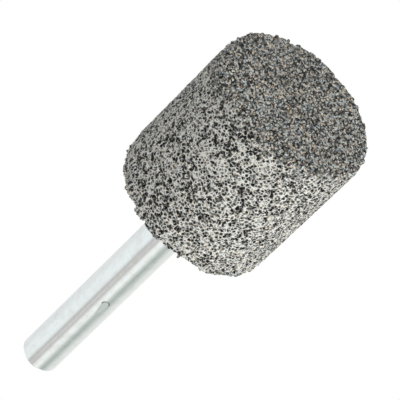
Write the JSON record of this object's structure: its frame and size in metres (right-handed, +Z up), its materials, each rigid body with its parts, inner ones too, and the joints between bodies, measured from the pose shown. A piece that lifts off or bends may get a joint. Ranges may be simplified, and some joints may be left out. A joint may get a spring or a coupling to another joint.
{
  "type": "mounted point",
  "caption": "Cylindrical abrasive mounted point: a porous bonded grinding head with a flat working face, cemented onto a plain steel shank for a collet.",
  "frame": {"origin": "centre of the head's flat working face, on which the part stands", "axes": "+Z up along the shank, from the working face to the shank's free tip; the small nick in the shank faces between -X and -Y"},
  "size_m": [0.025, 0.025, 0.065],
  "materials": {
    "bonded_abrasive": "matte",
    "shank_steel": "satin",
    "cement": "matte"
  },
  "bodies": {
    "root": {"abrasive_head": "bonded_abrasive", "shank": "shank_steel", "cement": "cement"}
  },
  "joints": []
}
